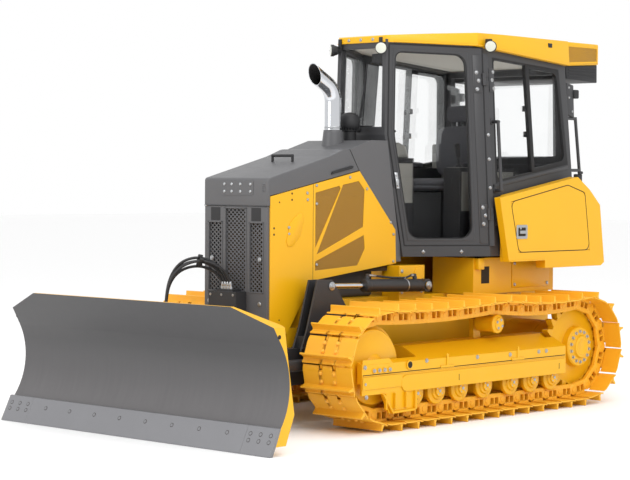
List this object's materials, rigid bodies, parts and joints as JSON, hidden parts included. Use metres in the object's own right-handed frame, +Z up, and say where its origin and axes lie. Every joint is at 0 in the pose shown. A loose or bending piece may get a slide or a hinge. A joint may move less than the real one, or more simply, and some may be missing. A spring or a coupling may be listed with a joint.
{
  "type": "crawler bulldozer",
  "caption": "Compact crawler bulldozer with an enclosed tapered cab, oval tracks and a front blade that lifts, angles and tilts on hydraulic cylinders.",
  "frame": {"origin": "on the ground, on the centre line, midway between the blade's foremost point and the drawbar's end", "axes": "+X forwards, +Y to the operator's left, +Z up"},
  "size_m": [4.7, 2.686, 2.85],
  "materials": {
    "yellow_paint": "semi-gloss golden yellow enamel",
    "track_yellow": "satin yellow paint over cast steel",
    "dark_grey_paint": "satin dark grey enamel",
    "black_paint": "satin black enamel",
    "blade_grey": "satin grey paint",
    "edge_steel": "bare rolled steel",
    "chrome": "polished chrome",
    "glass": "clear, lightly tinted",
    "gold_mesh": "perforated sheet, gold brown",
    "black_mesh": "perforated sheet, dark grey",
    "black_plastic": "matte black",
    "interior_plastic": "grained dark grey",
    "seat_fabric": "woven dark grey",
    "lamp": "clear lens in a black case",
    "engine_grey": "painted casting",
    "hose_rubber": "braided black rubber"
  },
  "bodies": {
    "root": {"main_frame": "yellow_paint", "side_mounts": "yellow_paint", "lift_brackets": "yellow_paint", "deck_boxes": "yellow_paint", "engine_block": "engine_grey", "hood": "dark_grey_paint", "radiator_guard": "dark_grey_paint", "front_grille": "black_mesh", "cowl": "dark_grey_paint", "exhaust_stack": "chrome", "precleaner": "black_plastic", "cab_frame": "dark_grey_paint", "cab_roof": "yellow_paint", "roof_unit": "black_plastic", "cab_glass": "glass", "work_lamps": "lamp", "operator_seat": "seat_fabric", "seat_base": "black_plastic", "consoles": "interior_plastic", "rear_tank": "yellow_paint", "handrails": "black_plastic", "hose_manifold": "black_paint", "track_left": "track_yellow", "track_frame_left": "yellow_paint", "track_rollers_left": "yellow_paint", "idler_left": "yellow_paint", "sprocket_left": "yellow_paint", "side_panel_left": "yellow_paint", "side_screen_left": "gold_mesh", "track_right": "track_yellow", "track_frame_right": "yellow_paint", "track_rollers_right": "yellow_paint", "idler_right": "yellow_paint", "sprocket_right": "yellow_paint", "side_panel_right": "yellow_paint", "side_screen_right": "gold_mesh", "hose_1": "hose_rubber", "hose_2": "hose_rubber", "hose_3": "hose_rubber", "hose_4": "hose_rubber"},
    "push_frame": {"push_frame": "black_paint"},
    "yoke": {"yoke": "black_paint"},
    "blade": {"blade": "blade_grey", "cutting_edge": "edge_steel"},
    "tilt_barrel": {"tilt_barrel": "black_paint"},
    "tilt_rod": {"tilt_rod": "chrome"},
    "door_left": {"door_left": "dark_grey_paint", "door_glass_left": "glass"},
    "service_door_left": {"service_door_left": "yellow_paint"},
    "lift_barrel_left": {"lift_barrel_left": "black_paint"},
    "lift_rod_left": {"lift_rod_left": "chrome"},
    "angle_barrel_left": {"angle_barrel_left": "black_paint"},
    "angle_rod_left": {"angle_rod_left": "chrome"},
    "door_right": {"door_right": "dark_grey_paint", "door_glass_right": "glass"},
    "service_door_right": {"service_door_right": "yellow_paint"},
    "lift_barrel_right": {"lift_barrel_right": "black_paint"},
    "lift_rod_right": {"lift_rod_right": "chrome"},
    "angle_barrel_right": {"angle_barrel_right": "black_paint"},
    "angle_rod_right": {"angle_rod_right": "chrome"}
  },
  "joints": [
    {"name": "blade_lift", "type": "hinge", "parent": "root", "child": "push_frame", "pos_m": [-0.516, 0, 0.42], "axis": [0, -1, 0], "range_deg": [-10, 15], "deforming": ["hose_1", "hose_2", "hose_3", "hose_4"]},
    {"name": "blade_angle", "type": "hinge", "parent": "push_frame", "child": "yoke", "pos_m": [1.784, 0, 0.45], "axis": [0, 0, 1], "range_deg": [-22, 22]},
    {"name": "blade_tilt", "type": "hinge", "parent": "yoke", "child": "blade", "pos_m": [2, 0, 0.45], "axis": [1, 0, 0], "range_deg": [-8.8, 8.8]},
    {"name": "tilt_barrel_pivot", "type": "hinge", "parent": "yoke", "child": "tilt_barrel", "pos_m": [2.05, -0.44, 0.69], "axis": [1, 0, 0], "range_deg": [-2.8, 2.8]},
    {"name": "tilt_rod_slide", "type": "slide", "parent": "tilt_barrel", "child": "tilt_rod", "axis": [0, 1, 0], "range_m": [-0.038, 0.038]},
    {"name": "lift_barrel_left_pivot", "type": "hinge", "parent": "root", "child": "lift_barrel_left", "pos_m": [-0.192, 0.47, 0.952], "axis": [0, -1, 0], "range_deg": [-14, 21]},
    {"name": "lift_rod_left_slide", "type": "slide", "parent": "lift_barrel_left", "child": "lift_rod_left", "axis": [0.9996, 0, 0.0296], "range_m": [-0.13, 0.087]},
    {"name": "angle_barrel_left_pivot", "type": "hinge", "parent": "push_frame", "child": "angle_barrel_left", "pos_m": [0.88, 0.54, 0.45], "axis": [0, 0, 1], "range_deg": [-1, 1]},
    {"name": "angle_rod_left_slide", "type": "slide", "parent": "angle_barrel_left", "child": "angle_rod_left", "axis": [1, 0, 0], "range_m": [-0.206, 0.206]},
    {"name": "door_left_hinge", "type": "hinge", "parent": "root", "child": "door_left", "pos_m": [-0.64767, 0.68173, 1.98937], "axis": [0.0206, -0.0414, 0.9989], "range_deg": [0, 110]},
    {"name": "service_door_left_hinge", "type": "hinge", "parent": "root", "child": "service_door_left", "pos_m": [-1.7995, 0.8, 1.416], "axis": [0.1574, 0, 0.9875], "range_deg": [0, 95]},
    {"name": "lift_barrel_right_pivot", "type": "hinge", "parent": "root", "child": "lift_barrel_right", "pos_m": [-0.192, -0.47, 0.952], "axis": [0, -1, 0], "range_deg": [-14, 21]},
    {"name": "lift_rod_right_slide", "type": "slide", "parent": "lift_barrel_right", "child": "lift_rod_right", "axis": [0.9996, 0, 0.0296], "range_m": [-0.13, 0.087]},
    {"name": "angle_barrel_right_pivot", "type": "hinge", "parent": "push_frame", "child": "angle_barrel_right", "pos_m": [0.88, -0.54, 0.45], "axis": [0, 0, 1], "range_deg": [-1, 1]},
    {"name": "angle_rod_right_slide", "type": "slide", "parent": "angle_barrel_right", "child": "angle_rod_right", "axis": [1, 0, 0], "range_m": [-0.206, 0.206]},
    {"name": "door_right_hinge", "type": "hinge", "parent": "root", "child": "door_right", "pos_m": [-0.64767, -0.68173, 1.98937], "axis": [-0.0206, -0.0414, -0.9989], "range_deg": [0, 110]},
    {"name": "service_door_right_hinge", "type": "hinge", "parent": "root", "child": "service_door_right", "pos_m": [-1.7995, -0.8, 1.416], "axis": [-0.1574, 0, -0.9875], "range_deg": [0, 95]}
  ],
  "couplings": [
    {"joint": "tilt_barrel_pivot", "follows": "blade_tilt", "ratio": 0.3125},
    {"joint": "tilt_rod_slide", "follows": "blade_tilt", "m_per_rad": -0.24},
    {"joint": "lift_barrel_left_pivot", "follows": "blade_lift", "ratio": 1.35},
    {"joint": "lift_rod_left_slide", "follows": "blade_lift", "m_per_rad": -0.49},
    {"joint": "angle_barrel_left_pivot", "follows": "blade_angle", "ratio": 0.02},
    {"joint": "angle_rod_left_slide", "follows": "blade_angle", "m_per_rad": -0.53},
    {"joint": "lift_barrel_right_pivot", "follows": "blade_lift", "ratio": 1.35},
    {"joint": "lift_rod_right_slide", "follows": "blade_lift", "m_per_rad": -0.49},
    {"joint": "angle_barrel_right_pivot", "follows": "blade_angle", "ratio": -0.02},
    {"joint": "angle_rod_right_slide", "follows": "blade_angle", "m_per_rad": 0.53}
  ]
}
